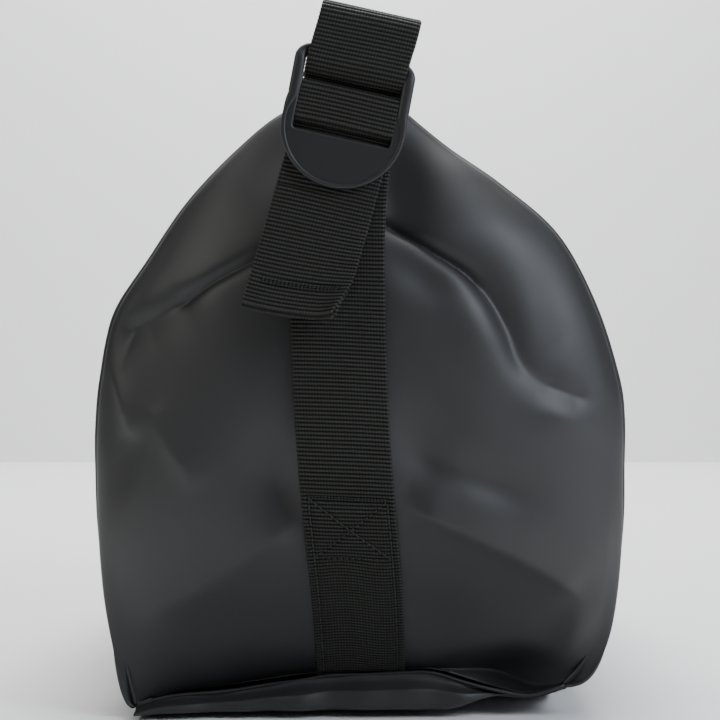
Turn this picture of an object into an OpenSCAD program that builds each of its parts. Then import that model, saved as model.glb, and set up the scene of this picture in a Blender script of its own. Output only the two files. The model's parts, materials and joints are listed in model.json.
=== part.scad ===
// Soft holdall of coated fabric with a top zip. A webbing strap is sewn up each end
// and threads a ladder lock there, and one carry strap joins the two locks over the top.
// Frame: Z up, Y along the bag, origin on the ground under the bag's centre.
// The front end faces -Y, and the rear end is its mirror image.

/* [Bag] */
// Width of the bag at the widest height of its ends
bag_w = 224; // [190:1:280]
// Height of the panels' top edges beside the zip
bag_h = 258; // [225:1:310]
// Length over the two bulging ends
bag_l = 380; // [320:1:480]
// How far an end panel bulges past its seam
end_bulge = 38; // [25:1:46]
// How much wider the bag is at the middle of its length than at its ends, as a share
side_swell = 0.07; // [0:0.01:0.12]
// Thickness of the coated fabric
fabric_t = 1.2; // [0.8:0.1:1.8]
// Height of the end panel's bottom seam at its middle
end_lift = 18; // [10:1:24]
// Height of the base seam along the sides
side_lift = 7; // [4:0.5:12]

/* [Zip] */
// Width of the opening between the side panels, which the zip fills
zip_w = 26; // [22:1:34]
// Thickness of the zip tape
tape_t = 0.8; // [0.5:0.1:1.2]
// How far each tape reaches under its side panel
tape_under = 4; // [3:0.5:6]
// Width of one row of the coil
coil_w = 2.1; // [1.6:0.1:2.6]
// Height of the coil
coil_h = 3.2; // [2.6:0.1:3.6]
// Length of a slider
slider_l = 11; // [9:0.5:14]
// Width of a slider
slider_w = 9.6; // [8.6:0.1:11]
// Length of the metal puller past its pin
puller_l = 15; // [12:1:18]
// Length of the fabric pull tab
tab_l = 20; // [14:1:24]
// Length of the fabric tab that covers each end of the zip
end_tab_l = 31; // [24:1:40]

/* [Webbing] */
// Width of the webbing
web_w = 38; // [30:1:42]
// Thickness of the webbing
web_t = 1.8; // [1.2:0.1:2.2]
// Angle by which the end strap leans sideways as it rises
strap_lean = 2.2; // [0:0.1:4]
// Height of the carry strap's crown over the ladder bar
crown_rise = 58; // [52:1:90]
// Height of the carry strap's fold over the ladder bar
fold_rise = 32; // [31:1:45]
// Length of the loose tail below the lock
tail_l = 50; // [35:1:55]
// Length of the tail's end that is folded back and sewn
tail_fold = 17; // [12:1:22]

/* [Ladder lock] */
// Radius of the round thumb tab
tab_r = 24.7; // [22:0.1:27]
// How far the tab's round is centred below the ladder bar
tab_drop = 9; // [6:0.5:10]
// Width of a side rail
rail_w = 3.2; // [2.4:0.1:4]
// Gap between the webbing and a rail
rail_gap = 1.3; // [0.8:0.1:2]
// Thickness of the frame
lock_t = 2.8; // [2.2:0.1:3.4]
// Height of the ladder bar's section
ladder_h = 10; // [8:0.5:11]
// Thickness of the ladder bar's section
ladder_t = 2.6; // [2:0.1:3]
// Height of the top bar's centre over the ladder bar
top_bar_h = 19; // [17.5:0.1:21]
// Radius of the top bar
top_bar_r = 2.2; // [1.6:0.1:2.6]
// Angle by which the lock and the carry strap lean
lock_lean = 12.6; // [0:0.1:14]
// Extra lean of the loose tail
tail_lean = 3.2; // [0:0.1:6]

/* [Hidden] */

cloth_colour = [0.13, 0.13, 0.14];
web_colour = [0.07, 0.07, 0.07];
lock_colour = [0.10, 0.10, 0.11];
zip_colour = [0.05, 0.05, 0.055];
thread_colour = [0.16, 0.16, 0.16];

gap = 0.3; // between two soft pieces that lie on each other
thread_gap = 0.1; // under a stitch

// The end seam's left and right sides as seen from the front, from the base corner up to
// the shoulder. Each point is [share of half the width, share of the way up from the base seam].
left_side = [[-0.87, 0], [-0.92, 0.10], [-0.97, 0.23], [-1.0, 0.373], [-0.985, 0.517],
  [-0.93, 0.645], [-0.80, 0.758], [-0.62, 0.866], [-0.43, 0.954], [-0.28, 0.992]];
right_side = [[0.86, 0], [0.93, 0.085], [0.975, 0.198], [1.0, 0.352], [0.985, 0.507],
  [0.93, 0.635], [0.84, 0.733], [0.70, 0.825], [0.47, 0.913], [0.235, 0.988]];
// How much of its bulge an end panel has along its middle, at shares of the way up
bulge_up = [0, 0.10, 0.45, 0.80, 0.97, 1.0, 0.97, 0.86, 0.55, 0.25, 0];

// Catmull-Rom curve through points, with n steps between two of them
function curve_at(a, b, c, d, t) = 0.5 * (2 * b + (c - a) * t + (2 * a - 5 * b + 4 * c - d) * t * t
  + (3 * b - a - 3 * c + d) * t * t * t);
function curve(p, n) = [for (i = [0 : len(p) - 2]) for (k = [0 : (i == len(p) - 2 ? n : n - 1)])
  curve_at(p[max(i - 1, 0)], p[i], p[i + 1], p[min(i + 2, len(p) - 1)], k / n)];

steps = 2;
function side_points(side, sign) = concat([for (s = side) [s[0] * bag_w / 2, side_lift + s[1] * (bag_h - side_lift)]],
  [[sign * zip_w / 2, bag_h]]);
left_seam = curve(side_points(left_side, -1), steps);
right_seam = curve(side_points(right_side, 1), steps);
rows = len(left_seam) - 1;
bulge = curve(bulge_up, rows / (len(bulge_up) - 1));

// Distance of the end seam from the middle of the bag, at a share of the way up
seam_y = bag_l / 2 - end_bulge;
function seam_at(v) = seam_y - 7 * pow(1 - v, 3) + 3 * v;
base_recess = 5; // the bottom seam's middle lies this much inside its corners

// A closed sheet between two equal grids of points
module sheet(a, b) {
  n = len(a);
  m = len(a[0]);
  points = concat([for (r = a) each r], [for (r = b) each r]);
  q = n * m;
  function id(i, j) = i * m + j;
  faces = concat(
    [for (i = [0 : n - 2]) for (j = [0 : m - 2]) each
      [[id(i, j), id(i + 1, j), id(i, j + 1)], [id(i + 1, j), id(i + 1, j + 1), id(i, j + 1)],
       [q + id(i, j), q + id(i, j + 1), q + id(i + 1, j)],
       [q + id(i + 1, j), q + id(i, j + 1), q + id(i + 1, j + 1)]]],
    [for (i = [0 : n - 2]) each
      [[id(i, 0), q + id(i, 0), id(i + 1, 0)], [q + id(i, 0), q + id(i + 1, 0), id(i + 1, 0)],
       [id(i, m - 1), id(i + 1, m - 1), q + id(i, m - 1)],
       [q + id(i, m - 1), id(i + 1, m - 1), q + id(i + 1, m - 1)]]],
    [for (j = [0 : m - 2]) each
      [[id(0, j), id(0, j + 1), q + id(0, j)], [q + id(0, j), id(0, j + 1), q + id(0, j + 1)],
       [id(n - 1, j), q + id(n - 1, j), id(n - 1, j + 1)],
       [q + id(n - 1, j), q + id(n - 1, j + 1), id(n - 1, j + 1)]]]);
  polyhedron(points, faces);
}

// The same grid moved by t along its own normals
function normal_at(g, i, j) = let (
  n = len(g) - 1, m = len(g[0]) - 1,
  du = g[min(i + 1, n)][j] - g[max(i - 1, 0)][j],
  dv = g[i][min(j + 1, m)] - g[i][max(j - 1, 0)],
  c = cross(du, dv)) c / norm(c);
function moved(g, t) = [for (i = [0 : len(g) - 1]) [for (j = [0 : len(g[0]) - 1])
  g[i][j] + t * normal_at(g, i, j)]];

// A ribbon of thickness t along a path of [y, z] points, as a flat outline
function path_normal(p, i) = let (d = p[min(i + 1, len(p) - 1)] - p[max(i - 1, 0)]) [-d[1], d[0]] / norm(d);
function ribbon(p, t) = concat([for (i = [0 : len(p) - 1]) p[i] + path_normal(p, i) * t / 2],
  [for (i = [len(p) - 1 : -1 : 0]) p[i] - path_normal(p, i) * t / 2]);
function arc(c, r, a0, a1, n) = [for (k = [0 : n]) let (a = a0 + (a1 - a0) * k / n)
  c + r * [cos(a), sin(a)]];

// Stands an outline drawn in [y, z] up as a band of width w across X
module band(w) {
  rotate([90, 0, 90]) linear_extrude(w, center = true) children();
}

module rear() {
  mirror([0, 1, 0]) children();
}

/* Shell */

across = 10; // columns over an end panel
along = 8; // columns along a side panel

// A point of an end panel, at share u across and row i up
function end_point(u, i) = let (
  v = i / rows,
  l = left_seam[i], r = right_seam[i],
  mid = 1 - pow(abs(2 * u - 1), 2.4),
  low = pow(1 - v, 6) * (1 - pow(2 * u - 1, 2)))
  [l[0] + (r[0] - l[0]) * u,
   -(seam_at(v) + end_bulge * bulge[i] * mid - base_recess * low),
   l[1] + (r[1] - l[1]) * u + (end_lift - side_lift) * low];

module end_panel() {
  inset = 0.016; // keeps the panel's edges clear of the side panels
  grid = [for (i = [0 : rows]) [for (j = [0 : across])
    end_point(inset + (1 - 2 * inset) * j / across, i) + [0, 0, i == 0 ? 1 : 0]]];
  color(cloth_colour) sheet(moved(grid, fabric_t), grid);
}

function side_point(seam, i, w) = let (v = i / rows)
  [seam[i][0] * (1 + side_swell * sin(180 * v) * (1 - w * w)), w * seam_at(v), seam[i][1]];

module side_panel(seam, sign) {
  grid = [for (i = [0 : rows]) [for (j = [0 : along]) side_point(seam, i, 2 * j / along - 1)]];
  inner = moved(grid, sign * fabric_t);
  color(cloth_colour) if (sign > 0) sheet(inner, grid); else sheet(grid, inner);
}

base_rim = [0, 0.035, 0.08]; // shares over which the base's rim turns up
module base_panel() {
  ease = concat(base_rim, [0.5], [for (k = [2 : -1 : 0]) 1 - base_rim[k]]);
  rise = [1, 0.35, 0, 0, 0, 0.35, 1];
  x0 = left_seam[0][0];
  x1 = right_seam[0][0];
  under = 0.4; // keeps the rim below the panels that stand on it
  side_rise = side_lift - fabric_t - under;
  grid = [for (i = [0 : 6]) [for (j = [0 : 6]) let (
    u = ease[j], w = 2 * ease[i] - 1,
    end_rise = side_rise + (end_lift - under - side_rise) * (1 - pow(2 * u - 1, 2)),
    z = max(rise[j] * side_rise, rise[i] * end_rise))
    [x0 + (x1 - x0) * u, w * (seam_at(0) - base_recess * (1 - pow(2 * u - 1, 2))), z]]];
  raised = [for (r = grid) [for (p = r) p + [0, 0, fabric_t]]];
  color(cloth_colour) sheet(raised, grid);
}

// Tape that binds the raw edges of an end seam on the inside
module seam_binding() {
  bound = 9;
  clear_in = 3.4;
  thick = 1.2;
  first = 1;
  last = rows - 5;
  ring = concat([for (i = [last : -1 : first]) [left_seam[i][0], left_seam[i][1], seam_at(i / rows)]],
    [for (k = [1 : 5]) let (u = k / 6) [end_point(u, 0)[0], end_point(u, 0)[2] + 2, -end_point(u, 0)[1]]],
    [for (i = [first : last]) [right_seam[i][0], right_seam[i][1], seam_at(i / rows)]]);
  function corner(p, inward, y) = let (c = [0, bag_h * 0.46] - [p[0], p[1]], d = c / norm(c))
    [p[0] + d[0] * inward, -(p[2] - y), p[1] + d[1] * inward];
  outer = [for (p = ring) [corner(p, clear_in, 4 + thick), corner(p, clear_in + bound, 4 + thick)]];
  inner = [for (p = ring) [corner(p, clear_in, 4), corner(p, clear_in + bound, 4)]];
  color(zip_colour) sheet(inner, outer);
}

/* Zip */

tape_drop = 0.225 * tape_under; // the side panels slope down over the tape by less than this
tape_z = bag_h - fabric_t - gap - tape_t / 2 - tape_drop; // middle of the tape's thickness
zip_end = seam_at(1) - 1 - end_tab_l; // where the end tab covers the coil
tooth_gap = 0.6; // half the slot that a slider's post runs in

module zip_tape(sign) {
  inside = tooth_gap + coil_w + 0.1;
  color(zip_colour) translate([sign > 0 ? inside : -(zip_w / 2 + tape_under), -(seam_at(1) - 3), tape_z - tape_t / 2])
    cube([zip_w / 2 + tape_under - inside, 2 * (seam_at(1) - 3), tape_t]);
}

module zip_coil(sign) {
  color(zip_colour) translate([sign > 0 ? tooth_gap : -(tooth_gap + coil_w), 0.2 - zip_end, tape_z - coil_h / 2])
    cube([coil_w, 2 * zip_end - 0.4, coil_h]);
}

module zip_end_tab() {
  room = 0.5;
  color(cloth_colour) translate([-(zip_w / 2 - room), -(seam_at(1) - 1), tape_z + tape_t / 2 + 0.1])
    cube([zip_w - 2 * room, end_tab_l, 1.2]);
}

plate_t = 1.2;
plate_z = coil_h / 2 + gap; // a slider plate's inner face over the tape's middle
slider_y = 10; // a slider's centre from the middle of the zip when it is closed
pin_r = 0.8;
pin_z = plate_z + plate_t + 1.3;
bridge_l = 8;
bridge_t = 1.2;
bridge_w = 2;

module slider_plate() {
  nose = slider_w / 2;
  linear_extrude(plate_t) {
    translate([-nose, -slider_l / 2]) square([slider_w, slider_l - nose]);
    translate([0, slider_l / 2 - nose]) circle(nose, $fn = 48);
  }
}

// A slider at its closed place, with its nose towards the middle
module zip_slider() {
  flange_t = 0.7;
  flange_h = plate_z - tape_t / 2 - gap;
  color(lock_colour) translate([0, -slider_y, tape_z]) {
    translate([0, 0, plate_z]) slider_plate();
    translate([0, 0, -plate_z - plate_t]) slider_plate();
    translate([-0.35, slider_l / 2 - 3, -plate_z - 0.01]) cube([0.7, 2.4, 2 * plate_z + 0.02]);
    for (x = [-slider_w / 2, slider_w / 2 - flange_t]) {
      translate([x, -slider_l / 2, plate_z - flange_h]) cube([flange_t, slider_l - slider_w / 2, flange_h + 0.01]);
      translate([x, -slider_l / 2, -plate_z - 0.01]) cube([flange_t, slider_l - slider_w / 2, flange_h]);
    }
    translate([-bridge_w / 2, 0, plate_z + plate_t]) rotate([90, 0, 90]) linear_extrude(bridge_w)
      difference() {
        translate([-bridge_l / 2, -0.01]) square([bridge_l, 3.6]);
        translate([-bridge_l / 2 + bridge_t, -0.02]) square([bridge_l - 2 * bridge_t, 2.4]);
      }
  }
}

arm_x = bridge_w / 2 + 0.4;
arm_w = 1.1;
puller_t = 1.6;
puller_w = 2 * (arm_x + arm_w);
// A flat metal puller that lies on the zip and hangs on a pin under the slider's bridge
module zip_puller() {
  reach = 5.4; // from the pin to the plate, past the bridge's end
  color(lock_colour) translate([0, -slider_y, tape_z + pin_z]) {
    rotate([0, 90, 0]) cylinder(h = puller_w, r = pin_r, center = true, $fn = 32);
    for (s = [-1, 1]) translate([s * (arm_x + arm_w / 2), 0, 0]) {
      rotate([0, 90, 0]) cylinder(h = arm_w, r = 1.3, center = true, $fn = 32);
      translate([-arm_w / 2, -reach - 1, -puller_t / 2]) cube([arm_w, reach + 1, puller_t]);
    }
    difference() {
      translate([-puller_w / 2, -puller_l, -puller_t / 2]) cube([puller_w, puller_l - reach, puller_t]);
      translate([-1.4, -puller_l + 2, -puller_t]) cube([2.8, 2.2, 2 * puller_t]);
    }
  }
}

// Folded strip of coated fabric that holds the puller's end between its two plies
module pull_tab() {
  ply = 0.7;
  wide = 8;
  over = 3; // how far the plies reach over the puller
  color(cloth_colour) translate([0, -slider_y - puller_l, tape_z + pin_z]) {
    for (s = [-1, 1]) translate([-wide / 2, -tab_l + over, s * (puller_t / 2 + 0.1 + ply / 2) - ply / 2])
      cube([wide, tab_l, ply]);
    translate([-wide / 2, -tab_l + over, -puller_t / 2 - 0.2]) cube([wide, tab_l - over - 0.4, puller_t + 0.4]);
  }
}

/* End strap and lock. Their paths are drawn in [y, z] around the ladder bar's centre. */

lock_y = -(bag_l / 2 + web_t + 3.2); // the end strap passes between the lock and the bag
lock_x = -4.7;
lock_z = bag_h - 4;
strap_x = 0.6; // where the end strap's foot lies across the bag
ply_gap = 0.2; // between the webbing and what it lies on
turn_r = ladder_t / 2 + ply_gap + web_t / 2; // middle of the webbing round the ladder bar
bar_end = ladder_h / 2 - ladder_t / 2; // centre of the ladder bar's rounded edges
turn_low = -ladder_h / 2 - 1.5; // where the turn's back run ends, and the end strap takes over
swing_r = norm([web_w / 2, turn_low]) + 0.4; // circle that the turn's corners stay inside as it leans

// Height of a row of the end panel's middle, and how far out the strap lies on it there
function strap_row(i) = [end_point(0.5, i)[1] - fabric_t - gap - web_t / 2 - 0.25, end_point(0.5, i)[2]];
free_row = 12; // the strap leaves the panel above this row
strap_path = concat([for (i = [0 : free_row]) strap_row(i) + [0, i == 0 ? 2 : 0]],
  [[lock_y + turn_r + 0.6, lock_z - 45], [lock_y + turn_r, lock_z + turn_low]]);

module leaning() {
  translate([strap_x, 0, end_lift]) rotate([0, -strap_lean, 0]) translate([0, 0, -end_lift]) children();
}

module end_strap() {
  color(web_colour) difference() {
    leaning() band(web_w) polygon(ribbon(strap_path, web_t));
    translate([lock_x, lock_y, lock_z]) rotate([90, 0, 0]) cylinder(h = 20, r = swing_r, center = true, $fn = 96);
  }
}

// Puts pieces drawn round the ladder bar where the lock is, leaning with it
module at_lock() {
  translate([lock_x, lock_y, lock_z]) rotate([0, lock_lean, 0]) children();
}

rail_in = web_w / 2 + rail_gap;
rail_out = rail_in + rail_w;
tab_top = -tab_drop - 4.5; // upper edge of the thumb tab
tab_low = -tab_drop - tab_r; // lowest point of the thumb tab
tab_back = 0.9; // the tab's back face in front of the ladder bar's middle

module lock_outline() {
  top = top_bar_h + top_bar_r;
  corner = 5;
  translate([0, -tab_drop]) circle(tab_r, $fn = 96);
  translate([-rail_out, -tab_drop]) square([2 * rail_out, top + tab_drop - corner]);
  translate([-rail_out + corner, top - corner - 1]) square([2 * (rail_out - corner), corner + 1]);
  for (s = [-1, 1]) translate([s * (rail_out - corner), top - corner]) circle(corner, $fn = 48);
}

module ladder_lock() {
  window = top_bar_h + top_bar_r + 1 - tab_top; // open to the top, where only the round bar crosses
  color(lock_colour) at_lock() {
    translate([0, -tab_back, 0]) rotate([90, 0, 0]) linear_extrude(lock_t) difference() {
      lock_outline();
      translate([-rail_in, tab_top]) square([2 * rail_in, window]);
    }
    // rails behind the frame, which carry the two bars
    for (s = [-1, 1]) translate([s * (rail_in + rail_w / 2) - rail_w / 2, -tab_back - 0.01, -ladder_h / 2])
      cube([rail_w, tab_back + ladder_t / 2, top_bar_h + ladder_h / 2]);
    for (z = [-bar_end, bar_end]) translate([0, 0, z]) rotate([0, 90, 0])
      cylinder(h = 2 * rail_in + 1, r = ladder_t / 2, center = true, $fn = 32);
    translate([-rail_in - 0.5, -ladder_t / 2, -bar_end]) cube([2 * rail_in + 1, ladder_t, 2 * bar_end]);
    translate([0, 0, top_bar_h]) rotate([0, 90, 0])
      cylinder(h = 2 * rail_out, r = top_bar_r, center = true, $fn = 48);
  }
}

// The webbing's turn round the ladder bar: up behind it, down its front and in behind the tab
tail_in = web_t / 2 + ply_gap - tab_back; // y of the tail behind the tab, where plus is towards the bag
hinge_h = tab_low - 2.3; // the tail bends here, just below the tab
turn_path = concat([[turn_r, turn_low]], arc([0, bar_end], turn_r, 0, 180, 10),
  arc([0, -bar_end], turn_r, 180, 240, 4),
  [[tail_in - 0.1, -ladder_h / 2 - 3.6], [tail_in, tab_top - 3.5], [tail_in, hinge_h - 1.6]]);

module at_tail() {
  at_lock() translate([-1, 0, hinge_h]) rotate([0, tail_lean, 0]) children();
}

tail_room = 0.8; // the turn ends this far above the tail's hinge, clear of the tail as it lifts
module strap_turn() {
  below = 20;
  color(web_colour) difference() {
    at_lock() band(web_w) polygon(ribbon(turn_path, web_t));
    at_tail() translate([-web_w, -below / 2, tail_room - below]) cube([2 * web_w, below, below]);
  }
}

// The tail hangs further out towards its end by this many thicknesses of webbing
tail_out = [0, 0.5, 1.6, 3.3] * web_t;
tail_path = [[tail_in, -0.1], [tail_in - tail_out[1], -tail_l * 0.25], [tail_in - tail_out[2], -tail_l * 0.6],
  [tail_in - tail_out[3], -tail_l + web_t]];
fold_r = web_t / 2 + 0.35; // middle of the webbing at the tail's fold
module strap_tail() {
  foot = tail_path[3];
  along_tail = (foot - tail_path[2]) / norm(foot - tail_path[2]);
  tilt = atan2(-along_tail[0], -along_tail[1]);
  turn = arc(foot + fold_r * [cos(tilt), -sin(tilt)], fold_r, 180 - tilt, 360 - tilt, 8);
  color(web_colour) at_tail() band(web_w) polygon(ribbon(concat([for (k = [0 : 2]) tail_path[k]], turn,
    [turn[8] - along_tail * tail_fold]), web_t));
}

// A row of short thread stitches from a to b on a face, drawn in [x, z]
thread_t = 0.45;
module stitches(a, b, pitch, length) {
  run = norm(b - a);
  n = floor(run / pitch);
  turn = atan2(b[1] - a[1], b[0] - a[0]);
  for (k = [0 : n]) let (p = a + (b - a) * (n == 0 ? 0 : k / n))
    translate([p[0], 0, p[1]]) rotate([0, -turn, 0])
      translate([-length / 2, -thread_t, -thread_t / 2]) cube([length, thread_t, thread_t]);
}

stitch_pitch = 2.7;
stitch_l = 1.9;

// The sewn box and its cross, where the end strap starts to lie on the panel
box_row = 6;
box_h = 24;
module box_stitch() {
  a = strap_path[box_row - 1];
  b = strap_path[box_row];
  out = path_normal([a, b], 0) * (web_t / 2 + thread_gap);
  lean = atan2(b[0] - a[0], b[1] - a[1]);
  half = web_w / 2 - 3.4;
  run = norm(b - a) / 2 - 1.2;
  color(thread_colour) leaning() translate([0, (a[0] + b[0]) / 2 + out[0], (a[1] + b[1]) / 2 + out[1]])
    rotate([-lean, 0, 0]) {
      for (z = [-run, run]) stitches([-half, z], [half, z], stitch_pitch, stitch_l);
      for (s = [-1, 1]) for (k = [-2.5 : 2.5]) translate([s * k * half / 3.2, 0, k * run / 3.2])
        rotate([0, -s * atan2(run, half), 0])
          translate([-stitch_l / 2, -thread_t, -thread_t / 2]) cube([stitch_l, thread_t, thread_t]);
    }
}

module tail_stitch() {
  a = tail_path[2];
  b = tail_path[3];
  p = b + (a - b) * 0.45;
  lean = atan2(b[0] - a[0], b[1] - a[1]);
  half = web_w / 2 - 4;
  color(thread_colour) at_tail() translate([0, p[0], p[1]]) rotate([180 - lean, 0, 0])
    translate([0, -web_t / 2 - thread_gap, 0])
      for (z = [-0.9, 0, 0.9]) stitches([-half, z], [half, z], stitch_pitch, stitch_l);
}

/* Carry strap, drawn round the front ladder bar as [y, z] and mirrored to the rear one */

loop_r = 7 + web_t / 2; // middle of the webbing at the loop round the top bar
front_y = -(top_bar_r + 0.3 + web_t / 2 + 0.1); // the riser's front ply
loop_c = [front_y + loop_r, top_bar_h - 0.2];
fold_c = [front_y + 6, fold_rise];
crown_y = -lock_y; // from the lock to the middle of the bag
rise_end = 100; // angle at which the fold hands over to the arch
arch_start = fold_c + 6 * [cos(rise_end), sin(rise_end)];
arch_power = 1.6;
function arch_z(y) = crown_rise - (crown_rise - arch_start[1]) * pow(abs(crown_y - y) / (crown_y - arch_start[0]), arch_power);
arch_steps = 9;
half_arch = [for (k = [0 : arch_steps]) let (y = arch_start[0] + (crown_y - arch_start[0]) * k / arch_steps) [y, arch_z(y)]];
sewn_l = 44; // length of the doubled end past the fold
inner_gap = web_t + ply_gap;
inner_fold_r = 6 - inner_gap;

// Doubled webbing round the lock's top bar, from its sewn end to the start of the arch
loop_path = concat(
  [for (k = [3 : -1 : 1]) let (y = arch_start[0] + sewn_l * k / 3) [y, arch_z(y) - inner_gap]],
  arc(fold_c, inner_fold_r, rise_end, 180, 6),
  [[front_y + inner_gap + 1.5, fold_rise - 4.5], [front_y + inner_gap + 9.5, top_bar_h + 5.5]],
  arc(loop_c, loop_r, 0, -180, 12),
  arc(fold_c, 6, 180, rise_end, 6));

module carry_strap() {
  turned = [for (p = half_arch) [2 * crown_y - p[0], p[1]]];
  path = concat(loop_path, [for (k = [1 : arch_steps]) half_arch[k]],
    [for (k = [arch_steps - 1 : -1 : 1]) turned[k]],
    [for (k = [len(loop_path) - 1 : -1 : 0]) [2 * crown_y - loop_path[k][0], loop_path[k][1]]]);
  color(web_colour) at_lock() band(web_w) polygon(ribbon(path, web_t));
}

// Rows that sew the doubled end to the strap, on top of the arch
module loop_stitch() {
  half = web_w / 2 - 4;
  row_gap = 4;
  y0 = arch_start[0] + sewn_l * 0.62;
  slope = atan((arch_z(y0 + row_gap) - arch_z(y0)) / row_gap);
  over = (web_t / 2 + thread_gap) * [-sin(slope), cos(slope)];
  color(thread_colour) at_lock() for (y = [y0, y0 + row_gap]) translate([0, y + over[0], arch_z(y) + over[1]])
    rotate([slope - 90, 0, 0]) stitches([-half, 0], [half, 0], stitch_pitch, stitch_l);
}

base_panel();
side_panel(left_seam, -1);  // side_panel_left
side_panel(right_seam, 1);  // side_panel_right
end_panel();  // end_panel_front
rear() end_panel();  // end_panel_rear
seam_binding();  // seam_binding_front
rear() seam_binding();  // seam_binding_rear
zip_tape(-1);  // zip_tape_left
zip_tape(1);  // zip_tape_right
zip_coil(-1);  // zip_coil_left
zip_coil(1);  // zip_coil_right
zip_end_tab();  // zip_end_tab_front
rear() zip_end_tab();  // zip_end_tab_rear
zip_slider();  // zip_slider_front
rear() zip_slider();  // zip_slider_rear
zip_puller();  // zip_puller_front
rear() zip_puller();  // zip_puller_rear
pull_tab();  // pull_tab_front
rear() pull_tab();  // pull_tab_rear
end_strap();  // end_strap_front
rear() end_strap();  // end_strap_rear
box_stitch();  // box_stitch_front
rear() box_stitch();  // box_stitch_rear
ladder_lock();  // ladder_lock_front
rear() ladder_lock();  // ladder_lock_rear
strap_turn();  // strap_turn_front
rear() strap_turn();  // strap_turn_rear
strap_tail();  // strap_tail_front
rear() strap_tail();  // strap_tail_rear
tail_stitch();  // tail_stitch_front
rear() tail_stitch();  // tail_stitch_rear
carry_strap();
loop_stitch();  // loop_stitch_front
rear() loop_stitch();  // loop_stitch_rear
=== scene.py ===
"""Looks of a soft holdall: coated fabric shell, webbing, ladder locks and zip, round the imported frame.

Shapes are worked out in millimetres in the part's frame (Z up, the front end faces -Y) and put into
meshes in metres. The rear end uses the front's functions, mirrored in Y.
"""
import json
import math
import bmesh
import bpy
import numpy as np
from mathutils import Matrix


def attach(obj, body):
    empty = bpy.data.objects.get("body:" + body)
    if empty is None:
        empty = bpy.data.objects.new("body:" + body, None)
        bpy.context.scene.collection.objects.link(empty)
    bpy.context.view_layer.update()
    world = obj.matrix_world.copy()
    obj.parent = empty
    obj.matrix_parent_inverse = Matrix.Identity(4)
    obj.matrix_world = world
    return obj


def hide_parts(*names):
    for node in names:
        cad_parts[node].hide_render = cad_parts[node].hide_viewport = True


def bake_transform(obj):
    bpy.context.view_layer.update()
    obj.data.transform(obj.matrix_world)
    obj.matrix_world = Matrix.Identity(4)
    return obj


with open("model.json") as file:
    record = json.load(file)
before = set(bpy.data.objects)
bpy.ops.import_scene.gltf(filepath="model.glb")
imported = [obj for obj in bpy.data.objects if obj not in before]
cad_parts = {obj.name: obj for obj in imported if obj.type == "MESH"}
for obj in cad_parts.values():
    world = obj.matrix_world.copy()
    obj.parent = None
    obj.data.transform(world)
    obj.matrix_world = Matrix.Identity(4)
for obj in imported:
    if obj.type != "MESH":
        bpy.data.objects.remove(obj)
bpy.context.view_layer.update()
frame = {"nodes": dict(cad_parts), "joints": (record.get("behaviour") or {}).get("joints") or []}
MM = 0.001

# ---------------------------------------------------------------- driving dimensions, in mm

FABRIC_T = 1.2
WEB_W = 38.0
WEB_T = 1.8
SLACK_W = 40.2  # the webbing's width where it runs free through the lock
RIB_PITCH = 1.65
RIB_H = 0.62  # how far the webbing's ribs stand up
WARP_PITCH = 1.22
THREAD_R = 0.26
SEAM_Y = 152.0  # the end seam from the bag's middle, half way up
END_BULGE = 38.0

# The front end's outline from the base corner to the zip, as (x, z)
LEFT_EDGE = [(-97, 5), (-101, 22), (-105, 43), (-109, 64), (-111, 85), (-111.5, 104), (-111.5, 123),
             (-109.5, 145), (-103.5, 172), (-88.5, 196), (-72, 220), (-51, 242), (-32, 257), (-13, 262)]
RIGHT_EDGE = [(88, 14), (96, 23), (102, 35), (107, 50), (110, 68), (111.5, 88), (111.5, 108), (111.5, 128),
              (109, 146), (99, 177), (83, 206), (59, 227), (36, 243), (13, 262)]
CORNER_Z = LEFT_EDGE[0][1]
# The end panel's bottom seam, as (x, z)
BASE_SEAM = [(-97, 5), (-88, 8), (-78, 10), (-61, 11), (-44, 13.5), (-26, 16.5), (-12, 18.2), (10, 19.2),
             (27, 19.8), (36, 18.2), (47, 14.5), (60, 11.2), (73, 9.5), (88, 14)]
BASE_LEFT = -96
BASE_RIGHT = 88
GROUND = 0.8  # the base's underside from the ground
# How far the middle of an end stands out past its seam, as (height, distance)
BELLY = [(-5, -26), (8, -17), (18, -10), (30, -1), (45, 9), (56, 17), (66, 24), (78, 30.5), (92, 35),
         (108, 37.3), (128, 38), (150, 37.4), (175, 35), (200, 30), (225, 21), (245, 11), (262, 3)]
SWELL = 0.07  # how much wider the bag is at the middle of its length


def curve_through(points, count):
    """Catmull-Rom curve through the points, read at count places an equal length apart."""
    p = np.asarray(points, float)
    p = np.vstack([2 * p[0] - p[1], p, 2 * p[-1] - p[-2]])
    t = np.linspace(0, 1, 24, endpoint=False)[None, :, None]
    a, b, c, d = (p[k:len(p) - 3 + k, None, :] for k in range(4))
    dense = 0.5 * (2 * b + (c - a) * t + (2 * a - 5 * b + 4 * c - d) * t ** 2
                   + (3 * b - a - 3 * c + d) * t ** 3)
    dense = np.vstack([dense.reshape(-1, p.shape[1]), p[-2]])
    run = np.r_[0, np.cumsum(np.linalg.norm(np.diff(dense, axis=0), axis=1))]
    at = np.linspace(0, run[-1], count)
    return np.stack([np.interp(at, run, dense[:, k]) for k in range(p.shape[1])], axis=1)


def graph(points):
    """Smooth function of one number that passes through the (x, value) points."""
    c = curve_through(points, 400)
    return lambda x: np.interp(x, c[:, 0], c[:, 1])


def normals(grid):
    """Unit normals of a grid of points, from the cross product of its two differences."""
    n = np.cross(np.gradient(grid, axis=1), np.gradient(grid, axis=0))
    return n / np.maximum(np.linalg.norm(n, axis=2, keepdims=True), 1e-9)


def facing(grid, axis, sign):
    """The grid's normals, turned so that the middle one points along the axis with this sign."""
    n = normals(grid)
    return n * np.sign(sign * n[grid.shape[0] // 2, grid.shape[1] // 2, axis])


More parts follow.
